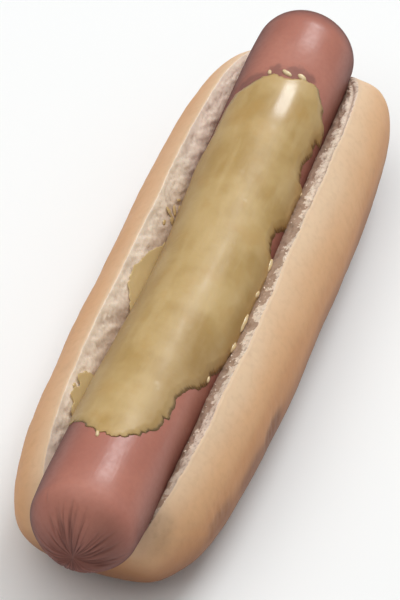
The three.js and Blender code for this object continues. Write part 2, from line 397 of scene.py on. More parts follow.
def meshFrom(name, points, faces, mergeDistance=1e-6, **values):
    mesh = bpy.data.meshes.new(name)
    mesh.from_pydata((points * mm).tolist(), [], faces.tolist())
    for key, value in values.items():
        storeValues(mesh, key, value)
    finishMesh(mesh, mergeDistance)
    return mesh


# Runs a node tree on a carrier object and returns the result as a plain mesh.
def growMesh(name, tree, inputs, base=None):
    carrier = bpy.data.objects.new(name + "Carrier", base or bpy.data.meshes.new(name + "Carrier"))
    scene.collection.objects.link(carrier)
    modifier = carrier.modifiers.new(name, "NODES")
    modifier.node_group = tree
    sockets = {item.name: item.identifier for item in tree.interface.items_tree if item.in_out == "INPUT"}
    for key, value in inputs.items():
        modifier[sockets[spoken(key)]] = value
    graph = bpy.context.evaluated_depsgraph_get()
    mesh = bpy.data.meshes.new_from_object(carrier.evaluated_get(graph))
    mesh.name = name
    carrier.modifiers.remove(modifier)
    bpy.data.objects.remove(carrier)
    return mesh


def addPiece(name, mesh, material, slot, *nodes):
    piece = bpy.data.objects.new(name, mesh)
    scene.collection.objects.link(piece)
    mesh.materials.clear()
    mesh.materials.append(material)
    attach(piece, "root")
    if nodes:
        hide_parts(*nodes)
    triangles = sum(len(face.vertices) - 2 for face in mesh.polygons)
    print(name, "done:", triangles, "triangles")
    return piece


sausageSettings = dict(
    radius=12.2, halfBody=74.0, capLength=10.4, axisHeight=28.3, endLift=2.4,
    sideShift=-0.2, bulge=1.6, bulgeAt=-1.5, bulgeLength=28.0,
    around=288, along=220, capShare=0.45,
    # the near end is blunter and its knot hangs a little low and to the right
    nearShorter=2.1, tipSide=0.0, tipDrop=3.1, farTipSide=-0.6, endTaper=0.35, taperLength=9.0,
    # points along a dark band on the skin by the far edge of the sauce
    farEdgeBand=[(-7.6, 52.4, 39.2), (-3.2, 55.6, 41.2), (1.6, 57.3, 41.8), (5.8, 58.0, 40.9)],
    # the shine on the skin fades out towards the gathered end and towards the sauce
    shineNear=(-69.0, -75.0), shineFar=(69.0, 62.0), shineLoss=0.75,
    foldStart=0.36, foldDepth=0.55, foldCount=8.0, dimple=0.7, seed=4.0,
)


def axisX(y):
    s = sausageSettings
    return s["sideShift"] + s["bulge"] * bell(y, s["bulgeAt"], s["bulgeLength"])


def axisZ(y):
    s = sausageSettings
    return s["axisHeight"] + s["endLift"] * (y / s["halfBody"]) ** 2


bunLow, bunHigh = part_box("bun")
rollSettings = dict(
    halfWidth=(bunHigh[0] - bunLow[0]) / 2 / mm,
    length=(bunHigh[1] - bunLow[1]) / mm,
    centreY=(bunHigh[1] + bunLow[1]) / 2 / mm,
    widestHeight=16.9, domeHeight=39.6, underCut=2.2, underSquareness=0.7,
    planTaper=(3.6, 5.8), topTaper=(4.7, 2.3), baseTaper=(6, 3),
    clearance=0.2, lipX=17.05, lipZ=33.9,
    stations=420, crustPoints=56, wallPoints=40, cradlePoints=6,
    # under 1 for the right side and under -1 for the left
    crumbDepth={1: 0.6, -1: 0.62}, foldSize={1: 1.6, -1: 2.5}, grainDepth={1: 0.28, -1: 0.26},
    stainStrength={1: 0.95, -1: 0.4}, leftGrooveShadeTop=2.6,
    # how the lip wanders: share, length, and two places in the noise
    lipWander=0.42, wander=[(1, 13, 5.1, 7.7), (0.6, 3.1, 7.3, 0.4), (0.3, 1.1, 3.3, 2.4)],
    unevenness=0.35,
    # how far the crust is drawn in on the right and the left, along the roll
    tuck={1: [(-74, 4), (-70, 3.8), (-66, 3), (-60, 1.8), (-48, 1), (-30, 0.55), (-12, 0.1), (78, 0)],
          -1: [(-76, 0), (-55, 0.3), (20, 0.3), (40, 0)]},
    nearTuck=0.8, farTuck=2.0,
    # below the lip the crumb leans in, and on the right it presses on the sausage; fillFrom is
    # the height up the wall, along the roll, where that begins
    fillShare=(1.0, 0.5), fillGap=(-0.35, 0.1), fillTo=12.5, leftFillFrom=3.5,
    fillFrom=[(-80, 4), (-62, 4.4), (-48, 5.6), (-38, 6.2), (-31, 7.3), (20, 7.4), (42, 6.4), (57, 5),
              (71, 3.4), (80, 3)],
    # how much of the right-hand slope is painted brown, as shade beside the sausage
    stainShare=[(-78, 0.6), (-66, 0.75), (-55, 0.66), (-45, 0.5), (-38, 0.5), (-31, 0.66), (-20, 0.7),
                (-10, 0.76), (0, 0.82), (16, 0.82), (24, 0.76), (30, 0.62), (36, 0.5), (41, 0.5),
                (49, 0.55), (57, 0.55), (64, 0.4), (72, 0.6)],
    # dents in the crust: place, radius, depth, height of the small wrinkles across it
    dents=[((25.6, -25.0, 17.6), 4.5, 0.45, 0.3), ((23.6, -53.0, 19.2), 4.5, 0.35, 0.3),
           ((14.2, -67.8, 23.4), 4.0, 0.2, 0.3)],
    # dark marks over the dents on the right: stroke from, to, width, strength, color
    darkDentMarks=[((25.8, -23.5, 14.2), (25.6, -26.5, 14.0), 5.8, 0.72, (112, 70, 50)),
             ((25.0, -33.5, 14.2), (24.4, -39.5, 14.0), 5.2, 0.62, (126, 80, 56)),
             ((23.4, -50.5, 15.4), (22.7, -54.0, 15.2), 5.0, 0.52, (134, 88, 62)),
             ((13.8, -66.0, 25.8), (15.2, -69.4, 21.6), 4.4, 0.3, (146, 116, 88))],
    ridge=[(22.7, -57.5, 15.9), (20.7, -62.9, 20.2), (16.9, -66.7, 22.7)],
)


# The crumb wall of one side is a line from the lip that just touches the round groove.
def crumbWall(y, side):
    s = rollSettings
    distance = sausageSettings["radius"] + s["clearance"]
    dx = s["lipX"] - side * axisX(y)
    dz = s["lipZ"] - axisZ(y)
    tilt = np.arccos(distance / np.hypot(dx, dz)) - np.arctan2(dz, dx)
    return distance, tilt


def alongRoll(table, y):
    return np.interp(y, *np.array(table, dtype=float).T)


# How far the crumb has come in from the straight wall, at a height up it.
def crumbFill(y, height, side):
    s = rollSettings
    onRight = np.asarray(side) > 0
    rise = np.maximum(height, 0)
    gap = np.hypot(sausageSettings["radius"] + s["clearance"], rise) - sausageSettings["radius"]
    start = np.where(onRight, alongRoll(s["fillFrom"], y), s["leftFillFrom"])
    opening = np.sin(np.clip((rise - start) / (s["fillTo"] - start), 0, 1) * math.pi / 2)
    share, closeGap = np.where(onRight, *s["fillShare"]), np.where(onRight, *s["fillGap"])
    return share * (gap - closeGap) * (1 - opening) * smoothstep(0, start, rise)


def loafSection(v):
    s = rollSettings

    def taper(powers):
        return np.clip(1 - np.abs(v) ** powers[0], 0, 1) ** (1 / powers[1])

    return (s["halfWidth"] * taper(s["planTaper"]),
            (s["domeHeight"] - s["widestHeight"]) * taper(s["topTaper"]),
            (s["widestHeight"] + s["underCut"]) * taper(s["baseTaper"]))


def loafCurve(v, angle):
    s = rollSettings
    width, top, bottom = loafSection(v)
    c, k = np.cos(angle), np.sin(angle)
    rise = np.where(k >= 0, top * k, -bottom * np.abs(k) ** s["underSquareness"])
    return width * c, np.maximum(0, s["widestHeight"] + rise)


# Places along the roll, closer together where its ends turn in.
def rollStations():
    s = rollSettings
    v = np.concatenate([np.linspace(0, 0.9, 400), 1 - np.geomspace(0.1, 1e-7, 1200)])
    width = loafSection(v)[0]
    arc = running(np.hypot(np.diff(v) * s["length"] / 2, np.diff(width)))
    half = np.interp(np.linspace(0, arc[-1], s["stations"] // 2 + 1), arc, v)
    return np.concatenate([-half[:0:-1], half])


# Half a section: crust from the middle of the base to the lip, then crumb down to the groove's floor.
def rollHalfSection(v, side, tear):
    s = rollSettings
    y = s["centreY"] + v * s["length"] / 2
    distance, tilt = crumbWall(y, side)
    distance = distance + tear
    ax, az = side * axisX(y), axisZ(y)
    angle = np.linspace(-math.pi / 2, math.pi / 2, 721)
    x, z = loafCurve(v, angle)
    into = np.array([np.cos(tilt), -np.sin(tilt)])
    up = np.array([np.sin(tilt), np.cos(tilt)])
    px, pz = x - ax, z - az
    rise = px * up[0] + pz * up[1]
    gap = np.where(rise > 0, px * into[0] + pz * into[1], np.hypot(px, pz)) - distance
    cut = np.nonzero((gap[:-1] > 0) & (gap[1:] <= 0) & (angle[:-1] > -0.2))[0]
    if len(cut):
        k = cut[0]
        t = gap[k] / (gap[k] - gap[k + 1])
        x, z = (np.append(line[:k + 1], line[k] + t * (line[k + 1] - line[k])) for line in (x, z))
    px, pz = x[-1] - ax, z[-1] - az
    lipRise = px * up[0] + pz * up[1]
    floor = -distance * (math.pi / 2 - tilt)
    lip = lipRise if lipRise > 0 else distance * (np.arctan2(px, -pz) - (math.pi / 2 - tilt))
    arc = running(np.hypot(np.diff(x), np.diff(z)))
    share = 1 - (1 - np.linspace(0, 1, s["crustPoints"])) ** 1.35
    crust = columns(*(np.interp(share * arc[-1], arc, line) for line in (x, z)))
    fromLip = (1 - share) * arc[-1]
    count = s["wallPoints"] + s["cradlePoints"]
    if not len(cut):
        groove = np.repeat(crust[-1:], count, axis=0)
        return crust, fromLip, groove, np.full(count, lip), np.zeros((count, 2)), lip
    # height up the wall from where it touches the cradle, or the arc below that point when negative
    last = 0 if lip > 0 else lip * 0.7 + floor * 0.3
    wall = np.linspace(lip, last, s["wallPoints"] + 1)[1:]
    g = np.concatenate([wall, np.linspace(last, floor, s["cradlePoints"] + 1)[1:]])
    turn = math.pi / 2 - tilt + g / distance
    onWall = (g > 0)[:, None]
    outward = np.where(onWall, into, columns(np.sin(turn), -np.cos(turn)))
    groove = outward * distance + np.where(onWall, g[:, None] * up, 0) + np.array([ax, az])
    return crust, fromLip, groove, g, outward, lip


# Torn crumb: soft slanting folds and a light grain; 0 is proud, 1 is a deep hollow.
def crumbHollow(points, side):
    s = rollSettings
    across = (points[:, 1] + 1.5 * points[:, 2]) / 1.3
    along = (points[:, 2] - 1.5 * points[:, 1]) / 1.3
    slant = columns(points[:, 0] * 0.6 + 40 * side, across, along * 0.4)
    folds = noiseAt(slant, s["foldSize"][side], 2, 3.1)
    broad = noiseAt(points, 6.0, 1, 5.2 + side)
    grain = noiseAt(points, 0.7, 2, 9.4)
    return np.clip(0.32 + 0.5 * folds + 0.3 * broad + s["grainDepth"][side] * grain, -0.1, 1.2)


def rollMesh():
    s = rollSettings
    sections = []
    for v in rollStations():
        y = s["centreY"] + v * s["length"] / 2
        start = alongRoll(s["fillFrom"], y)
        halves = []
        for side in (1, -1):
            onRight = side > 0
            wander = sum(share * noise.noise(Vector((y / size, side * a, b)))
                         for share, size, a, b in s["wander"])
            tear = (0.1 + s["lipWander"] * wander) * (1 - smoothstep(0.8, 0.96, abs(v)))
            crust, fromLip, groove, g, outward, lip = rollHalfSection(v, side, tear)
            flat = columns(side * groove[:, 0], y, groove[:, 1])
            hollow = crumbHollow(flat, side)
            below = lip - g
            rim = smoothstep(0.3, 2.2, below)
            # on the far right the crust has come away from the crumb
            split = 0.6 * bell(below, 1.3, 0.35) * smoothstep(5, 30, y) * onRight
            push = (s["crumbDepth"][side] * (hollow - 0.25) * rim + split) * smoothstep(-2.0, 1.0, g)
            if onRight:
                push = push * (0.35 + 0.65 * smoothstep(0, 2.5, g - start))
            inward = unit(np.array([side * axisX(y), axisZ(y)]) - groove)
            fill = crumbFill(y, g, side) * smoothstep(0, 1.5, below)
            groove = groove + outward * push[:, None] + inward * fill[:, None]
            section = np.concatenate([crust, groove])
            # the band of painted shade beside the sausage has a ragged top
            top = start + (lip - start) * alongRoll(s["stainShare"], y) if onRight else s["leftGrooveShadeTop"]
            ragged = g + 1.8 * noiseAt(flat, 2.6, 2, 12.0) + 0.7 * noiseAt(flat, 0.8, 2, 3.0)
            stain = smoothstep(top + 0.35, top - 0.35, ragged) * s["stainStrength"][side]
            plain = np.zeros(len(fromLip))
            halves.append([
                columns(side * section[:, 0], y, section[:, 1]),
                np.append(plain, np.ones(len(g))),
                np.append(fromLip, -below),
                np.append(plain, np.clip(hollow, 0, 1) * rim + split),
                np.append(plain, stain)])
        sections.append([np.concatenate([right, left[::-1]]) for right, left in zip(*halves)])
    points, crumb, reach, hollow, stain = (np.array(part) for part in zip(*sections))
    points = softenLip(unevenCrust(points, crumb), reach)
    index = np.arange(crumb.size).reshape(crumb.shape)
    nextOne = np.roll(index, -1, axis=1)
    faces = np.stack([index[:-1], nextOne[:-1], nextOne[1:], index[1:]], axis=-1).reshape(-1, 4)
    return meshFrom(
        "roll", points.reshape(-1, 3), faces, crumb=crumb, fromLip=reach, hollow=hollow, stain=stain)


def fromLine(points, corners):
    nearest = np.full(len(points), 1e9)
    for a, b in zip(np.array(corners[:-1]), np.array(corners[1:])):
        share = np.clip((points - a) @ (b - a) / ((b - a) @ (b - a)), 0, 1)
        nearest = np.minimum(nearest, np.linalg.norm(points - a - share[:, None] * (b - a), axis=1))
    return nearest


def unevenCrust(points, crumb):
    s = rollSettings
    flat = points.reshape(-1, 3)
    outward = unit(flat - columns(0, flat[:, 1], s["widestHeight"]))
    swell = s["unevenness"] * noiseAt(flat, 18.0, 2, 1.3) + 0.05 * noiseAt(flat * [0.5, 1, 0.5], 2.6, 2, 4.4)
    swell *= smoothstep(0.2, 5.0, flat[:, 2])
    for place, radius, depth, wrinkle in s["dents"]:
        near = bell(np.linalg.norm(flat - place, axis=1), 0, radius)
        swell += near * (wrinkle * noiseAt(flat * [1, 1, 0.4], 1.5, 2, 8.2) - depth)
    away = fromLine(flat, s["ridge"]) + 0.5 * noiseAt(flat, 3.0, 1, 6.1)
    swell += 0.22 * bell(away, 0, 0.7) - 0.14 * bell(away, 1.5, 0.8)
    swell *= 1 - crumb.ravel()
    flat = flat + outward * swell[:, None]
    y, across = flat[:, 1].copy(), flat[:, 0] / s["halfWidth"]
    for side in (1, -1):
        flat[:, 0] -= side * alongRoll(s["tuck"][side], y) * smoothstep(0.35, 0.85, side * across)
    flat[:, 1] += s["nearTuck"] * smoothstep(-60, -76, y)
    # the far end slopes down to the sausage on the right
    flat[:, 1] -= (s["farTuck"] * smoothstep(66, 76, y)
                   * smoothstep(0.72, 0.45, across) * smoothstep(0.0, 0.38, across))
    return flat.reshape(points.shape)


# Rounds the sharp corner between crust and crumb over about half a millimetre.
def softenLip(points, reach):
    weight = bell(reach, 0, 0.6)[..., None] * 0.6
    for _ in range(3):
        average = (np.roll(points, 1, axis=1) + np.roll(points, -1, axis=1)) / 2
        points = points + (average - points) * weight
    return points


def rollMaterial():
    s = rollSettings
    material, tree, shader, coords = newMaterial("bakedRoll")
    names = ("crumb", "fromLip", "hollow", "stain")
    crumb, fromLip, hollow, stain = (attribute(tree, name) for name in names)
    x, y, z = xyz(coords)
    patch, _ = mottle(coords, 26.0, 3.0, 0.3, 0.7, squeeze=(1, 0.5, 1))
    fleck, _ = mottle(coords, 1.5, 5.0, 0.45, 0.68)
    smudge, _ = mottle(coords, 8.0, 4.0, 0.58, 0.78)
    down = fromLip + patch * 3.5
    crust = layered(
        # paler by the cut, then tan and orange-brown down the side, darker low down and golden brown below:
        # browner crust, with painted shade on the low sides too
        (236, 203, 167),
        (down.ramp(2.0, 12.0), (226, 177, 130)),
        (down.ramp(10.0, 18.0), (204, 146, 96)),
        (down.ramp(17.0, 26.0), (172, 116, 74)),
        (z.ramp(20 * mm, 6 * mm), (140, 90, 56)),
        # painted shade: darker at the near end, and a darker orange on the left flank
        (y.ramp(-60 * mm, -74 * mm, 0.0, 0.35), (150, 104, 68)),
        (x.ramp(-12 * mm, -21 * mm, 0.0, 0.55), (216, 152, 94)),
        (fleck * 0.08, (160, 114, 80)),
        (smudge * 0.14, (160, 122, 94)))
    # dark brown marks over the dents on the right
    for start, stop, width, strength, color in s["darkDentMarks"]:
        mask = stroke(coords, start, stop, width, 0.22, 6.0) * strength * (fleck * 0.25 + 0.75)
        crust = layered(crust, (mask, color))
    # a pale stroke along the ridge: painted highlight on its crest
    for start, stop in zip(s["ridge"][:-1], s["ridge"][1:]):
        crust = layered(crust, (stroke(coords, start, stop, 1.2, 0.9, 2.5) * 0.2, (232, 186, 150)))
    # the crust pales right at the torn edge
    crust = layered(crust, (fromLip.ramp(1.3, 0.1, 0.0, 0.45), (218, 190, 160)))

    # the crumb darkens in its hollows and where the crust has come away: painted shade
    bread = placeGroup(crumbGroup, vector=coords, hollow=hollow.ramp(0.3, 1.0, 0.0, 0.6))
    onRight = x.ramp(-2 * mm, 2 * mm)
    speck, _ = mottle(coords, 0.9, 3.0, 0.5, 0.66)
    _, broken = mottle(coords, 0.7, 3.0)
    grooveShadeBand = (stain + (broken - 0.5) * 2.2).ramp(0.3, 0.75) * 0.82
    inside = layered(
        bread["Color"],
        # painted shade: duller deeper in, on the right and at the near end, and a brown band beside the
        # sausage
        (fromLip.ramp(-2.8, -7.0, 0.0, 0.75), (182, 155, 133)),
        (onRight * 0.22, (196, 170, 148)),
        (y.ramp(-44 * mm, -58 * mm, 0.0, 0.42), (158, 138, 116)),
        (speck * onRight * 0.45, (142, 112, 92)),
        (grooveShadeBand * onRight, (160, 128, 106)))
    _, leather = mottle(coords, 2.4, 5.0, squeeze=(0.6, 1, 0.6))
    addBump(shader, bread["Height"] * crumb * 1.1 + leather, 0.14)
    feed(shader, {
        "Base Color": crumb.mix(crust, inside), "Roughness": crumb.ramp(0.0, 1.0, 0.6, 0.95),
        "Subsurface Weight": 0.1, "Subsurface Radius": (0.005, 0.003, 0.0018)})
    return material


roll = addPiece("roll", rollMesh(), rollMaterial(), "bread", "bun")


# A bent tube from a flat grid: X runs round the sausage and Y from pole to pole.
def buildSausageTree():
    keys = ("radius halfBody capLength axisHeight endLift sideShift bulge bulgeAt bulgeLength capShare"
            " foldStart foldDepth foldCount dimple seed nearShorter tipSide tipDrop farTipSide endTaper"
            " taperLength around along").split()
    inputs = {key: sausageSettings[key] for key in keys}
    tree, given, end = newShapeTree("sweptSausage", **inputs, skin="Material")
    x, fromMiddle, _ = xyz(shapeNode(tree, "InputPosition"))
    theta = x * math.pi
    whichEnd = fromMiddle.maths("SIGN")
    far = whichEnd.maths("MAXIMUM", 0.0)
    near = (whichEnd * -1.0).maths("MAXIMUM", 0.0)
    away = fromMiddle.maths("ABSOLUTE")
    bodyShare = 1.0 - given.capShare
    along = (away / bodyShare).maths("MINIMUM", 1.0)
    y = along * given.halfBody * whichEnd
    beyond = ((away - bodyShare) / given.capShare).clamped()
    latitude = beyond * (math.pi / 2)
    cosine, sine = latitude.maths("COSINE"), latitude.maths("SINE")

    # gathers in the skin: creases that run to the pole, of uneven length and depth
    def ring(turns, drift):
        return combine(theta.maths("COSINE") * turns, theta.maths("SINE") * turns,
                       beyond * drift + (given.seed + whichEnd) * 3.7)

    def creases(turns, drift, sharpness):
        swing = (noiseNode(ring(turns, drift), 1.0, 0.0) - 0.5).maths("ABSOLUTE")
        return (1.0 - swing * sharpness).clamped()

    late = noiseNode(ring(given.foldCount * 0.9, 0.0), 1.0, 1.0)
    begin = given.foldStart + (late - 0.5) * 1.1
    begin = (begin + far * 0.25).maths("MAXIMUM", 0.1)
    coarse = creases(given.foldCount, 0.9, 10.0) * beyond.ramp(begin, begin + 0.4)
    fine = creases(given.foldCount * 1.9, 1.6, 7.0) * beyond.ramp(begin + 0.1, begin + 0.5)
    crease = coarse + fine * 0.45
    pull = crease * given.foldDepth * cosine.ramp(0.0, 0.25)
    fromEnd = (1.0 - along) * given.halfBody
    slim = (1.0 - fromEnd / given.taperLength).clamped()
    slim = slim * slim * given.endTaper
    radius = ((given.radius - slim) * cosine - pull).maths("MAXIMUM", 0.0)
    sink = given.dimple * beyond.ramp(0.72, 1.0) + pull * (sine * 0.5)
    capLength = given.capLength - near * given.nearShorter
    reach = (capLength * sine - sink) * whichEnd

    # the bent axis and the directions of each ring
    share = y / given.halfBody
    offset = (y - given.bulgeAt) / given.bulgeLength
    lean = (offset * offset * -1.0).maths("EXPONENT") * given.bulge
    axis = combine(given.sideShift + lean, y, given.axisHeight + given.endLift * (share * share))
    sideSlope = offset * lean * -2.0 / given.bulgeLength
    riseSlope = share * 2.0 * given.endLift / given.halfBody
    forward = combine(sideSlope, 1.0, riseSlope).vector("NORMALIZE")
    right = forward.vector("CROSS_PRODUCT", (0, 0, 1)).vector("NORMALIZE")
    up = right.vector("CROSS_PRODUCT", forward)
    tip = combine(given.tipSide, 0.0, given.tipDrop * -1.0)
    axis = axis.vector("ADD", tip.scaled(sine.maths("POWER", 4.0) * near))
    axis = axis.vector("ADD", combine(sine * sine * (far * given.farTipSide), 0.0, 0.0))
    point = axis.vector("ADD", forward.scaled(reach))
    for direction, swing in ((right, "SINE"), (up, "COSINE")):
        point = point.vector("ADD", direction.scaled(radius * theta.maths(swing)))

    grid = {"Size X": 2.0, "Size Y": 2.0, "Vertices X": given.around, "Vertices Y": given.along}
    shape = shapeNode(tree, "MeshGrid", grid, "Mesh")
    for name, value in (("crease", crease), ("cap", beyond * whichEnd)):
        shape = shape.through("StoreNamedAttribute", Name=name, Value=value)
    shape = shape.through("SetPosition", Position=point.scaled(mm)).through("MergeByDistance", Distance=1e-6)
    closeTree(shape, given.skin, end)
    return tree


def closeTree(shape, skin, end):
    shape = shape.through("SetShadeSmooth").through("RealizeInstances")
    feed(end, {"Geometry": shape.through("SetMaterial", Material=skin)})


def sausageMaterial():
    s = sausageSettings
    material, tree, shader, coords = newMaterial("cookedSkin")
    crease, cap = attribute(tree, "crease"), attribute(tree, "cap")
    nearCap = cap * -1.0
    x, y, z = xyz(coords)
    broad, _ = mottle(coords, 14.0, 3.0, 0.3, 0.7)
    small, grain = mottle(coords, 1.2, 4.0, 0.35, 0.7)
    limb = addNode(tree, "ShaderNodeLayerWeight", {"Blend": 0.4}, "Facing").ramp(0.25, 0.85)
    # a dark band on the skin along the far edge of the sauce, duller round it
    farEdgeBand, farEdgeHalo = 0.0, 0.0
    for start, stop in zip(s["farEdgeBand"][:-1], s["farEdgeBand"][1:]):
        farEdgeBand = stroke(coords, start, stop, 2.7, 0.7, 2.4).maths("MAXIMUM", farEdgeBand)
        farEdgeHalo = stroke(coords, start, stop, 8.0, 0.25, 6.0).maths("MAXIMUM", farEdgeHalo)
    flesh = layered(
        (176, 112, 96),
        (broad, (186, 122, 104)),
        (small * 0.12, (150, 90, 76)),
        # painted shade: low on the sides, over the gathered near end and in its creases
        (z.ramp(38 * mm, 26 * mm, 0.0, 0.5), (128, 74, 62)),
        (nearCap.ramp(0.35, 0.9, 0.0, 0.5), (104, 56, 48)),
        ((crease * 0.5).clamped(), (80, 44, 38)),
        # painted shade on the right of the gathered end; the far end is a little darker too
        (x.ramp(1 * mm, 9 * mm, 0.0, 0.55) * nearCap.ramp(0.1, 0.6), (78, 40, 33)),
        (cap.ramp(0.1, 0.7, 0.0, 0.45), (138, 82, 70)),
        # painted shade towards the outline of the skin
        (limb * 0.88, (92, 38, 27)),
        (farEdgeBand * 0.5, (96, 64, 60)))
    nearFade, farFade = (y.ramp(*(c * mm for c in s[name])) for name in ("shineNear", "shineFar"))
    faded = nearFade.maths("MAXIMUM", farFade * y.ramp(0.0, 20 * mm)) * s["shineLoss"]
    dull = limb.maths("MAXIMUM", farEdgeHalo * 1.1).maths("MAXIMUM", faded) * 0.32
    _, fine = mottle(coords, 0.6, 4.0, squeeze=(1, 0.12, 1))
    addBump(shader, fine, 0.03)
    feed(shader, {
        "Base Color": flesh, "Roughness": grain.ramp(0.3, 0.7, 0.3, 0.37) + dull, "Specular IOR Level": 0.4,
        "Subsurface Weight": 0.1, "Subsurface Radius": (0.004, 0.0015, 0.001)})
    return material


skin = sausageMaterial()
sausageMesh = growMesh("wholeSausage", buildSausageTree(), dict(skin=skin))
finishMesh(sausageMesh)
addPiece("wholeSausage", sausageMesh, skin, "sausage_skin", "sausage")

mustardSettings = dict(
    thickness=0.3, gap=0.04, cornerAngle=95.0, wallAngle=104.0, mmPerDegree=0.2182,
    cell=0.42, edgeCell=0.17, edgeBand=0.9, edgeStep=0.08, rim=0.75, bead=0.06, wallExtra=0.32,
    lumps=0.1, lobes=0.4, fray=0.16, seed=17.0,
    # the edge of the coat, round from the near end by the right: y, then degrees from the top
    outline=[
        (-58.9, 0), (-58.7, 8), (-57.6, 14), (-55.8, 21), (-54.8, 24), (-53.5, 28), (-52, 31), (-50, 33),
        (-47.5, 35), (-45.2, 38), (-43.3, 38), (-41.5, 36), (-39.5, 39), (-37.5, 42), (-35.8, 46),
        (-34.2, 51), (-31.5, 60), (-29.8, 60), (-28.2, 58), (-26.5, 66), (-22.5, 72), (-18, 80),
        (-13.5, 86), (-10, 84), (-7.4, 80), (-3.5, 78), (1, 80), (5.7, 82), (8, 74), (9.3, 64), (10.5, 58),
        (12, 55), (15, 55), (16.4, 57), (18.5, 66), (20.7, 75), (23, 77), (25.6, 73), (28, 75), (31.5, 82),
        (33.5, 78), (33.4, 68), (32.8, 61), (34.5, 57), (37.4, 54), (39.3, 57), (41.5, 61), (43.3, 59),
        (45, 57), (46, 60), (47.5, 69), (50, 68), (51.5, 64), (51.8, 58), (52.4, 53), (54.3, 48), (56, 41),
        (57.6, 34), (57.2, 25), (55.9, 14), (55.2, 8), (55.2, 2), (55.6, -6), (54.8, -13), (53, -20),
        (51.4, -27), (50.4, -35), (48.6, -43), (45, -47), (40, -48), (36.5, -51), (33, -60), (29, -76),
        (24, -88), (16, -92), (11.2, -104), (9.1, -114), (6.9, -119), (5.4, -124), (3.2, -128), (1.8, -130),
        (0, -134), (-1.6, -134), (-3.3, -136), (-4.8, -138), (-5.9, -136), (-8.6, -136), (-9.5, -130),
        (-10.8, -124), (-12.8, -119), (-13.5, -115), (-14.5, -98), (-16, -88), (-24, -86), (-31, -88),
        (-32.5, -98), (-33.5, -114), (-34.3, -125), (-36.6, -130), (-38.1, -131), (-38.6, -126),
        (-39.6, -126), (-40.8, -131), (-42.4, -130), (-43.3, -127), (-43.5, -122), (-45.5, -120),
        (-46.7, -113), (-47, -100), (-48, -88), (-50, -76), (-52, -62), (-53.6, -50), (-54.2, -42),
        (-55.2, -34), (-56.1, -25), (-57.5, -18), (-58.4, -11)],
    # wet places that shine: y, degrees, size along, size round, how wet
    wet=[(49.2, 14.5, 6.4, 7.5, 1), (40, 14, 1.0, 3, 0.16), (22, 14, 1.6, 3, 0.12), (-2, 14, 5, 3, 0.16),
         (-10, 14, 3.4, 3.4, 0.18), (-24, 12, 2.4, 3, 0.14)],
)


# A point of the coat: over the sausage first, and past the corner angle up the crumb wall,
# where proud is how far it also stands off the crumb.
def coatPoints(y, degrees, lift, proud=0.0):
    s = mustardSettings
    side = np.where(degrees < 0, -1.0, 1.0)
    distance, tilt = crumbWall(y, side)
    r = sausageSettings["radius"] + lift
    toWall = distance - lift
    corner = math.pi / 2 + tilt - np.arccos(np.minimum(1, toWall / r))
    share = np.abs(degrees) / s["cornerAngle"]
    angle = side * corner * np.minimum(share, 1)
    ax, az = axisX(y), axisZ(y)
    climb = np.radians(np.maximum(np.abs(degrees) - s["cornerAngle"], 0)) * sausageSettings["radius"]
    climb = climb + np.sqrt(np.maximum(0, r * r - toWall * toWall))
    reach = np.hypot(toWall, climb)
    closer = 1 - crumbFill(y, climb, side) / reach
    stand = toWall - proud
    wallX = ax + side * (np.cos(tilt) * stand + np.sin(tilt) * climb) * closer
    wallZ = az + (np.cos(tilt) * climb - np.sin(tilt) * stand) * closer
    x = np.where(share <= 1, ax + r * np.sin(angle), wallX)
    z = np.where(share <= 1, az + r * np.cos(angle), wallZ)
    return columns(x, y, z)


def mustardOutline():
    s = mustardSettings
    corners = np.array([(angle * s["mmPerDegree"], y) for y, angle in s["outline"] + s["outline"][:1]])
    arc = running(np.linalg.norm(np.diff(corners, axis=0), axis=1))
    even = np.linspace(0, arc[-1], int(arc[-1] / s["edgeStep"]))[:-1]
    loop = columns(*(np.interp(even, arc, corners[:, k]) for k in (0, 1)))
    for _ in range(4):
        loop = (np.roll(loop, 3, axis=0) + loop + np.roll(loop, -3, axis=0)) / 3
    tangent = unit(np.roll(loop, -6, axis=0) - np.roll(loop, 6, axis=0))
    outward = columns(tangent[:, 1], -tangent[:, 0])
    spots = columns(*loop.T, s["seed"])
    # round lobes with sharp notches between them, and a finer fray
    lobes = 2.6 * np.abs(noiseAt(spots, 2.0)) - 0.6
    fray = 2.6 * np.abs(noiseAt(spots, 0.8, 1, 5.0)) - 0.6
    return loop + outward * (s["lobes"] * lobes + s["fray"] * fray)[:, None]


def insideLoop(loop, points):
    x0, y0 = loop.T
    x1, y1 = np.roll(loop, -1, axis=0).T
    result = np.zeros(len(points), dtype=bool)
    for row in np.unique(points[:, 1]):
        picked = np.nonzero(points[:, 1] == row)[0]
        c = (y0 > row) != (y1 > row)
        crossings = x0[c] + (row - y0[c]) / (y1[c] - y0[c]) * (x1[c] - x0[c])
        result[picked] = (points[picked, 0][:, None] < crossings[None, :]).sum(axis=1) % 2 == 1
    return result


def awayFrom(edgeTree, points):
    return np.array([edgeTree.find((x, y, 0))[2] for x, y in points])


# Points inside the loop: a fine grid near the edge and a coarser one further in.
def fillLoop(loop, edgeTree):
    s = mustardSettings
    kept = []
    grids = ((s["edgeCell"], 0.6 * s["edgeCell"], s["edgeBand"]), (s["cell"], s["edgeBand"], 1e3))
    for cell, nearest, furthest in grids:
        low, high = loop.min(axis=0), loop.max(axis=0)
        xs, ys = np.arange(low[0], high[0], cell), np.arange(low[1], high[1], cell * 0.87)
        gridX, gridY = np.meshgrid(xs, ys)
        gridX[1::2] += cell / 2
        points = columns(gridX.ravel(), gridY.ravel() + 1e-5)
        points = points[insideLoop(loop, points)]
        away = awayFrom(edgeTree, points)
        kept.append(points[(away > nearest) & (away <= furthest)])
    return np.concatenate(kept)


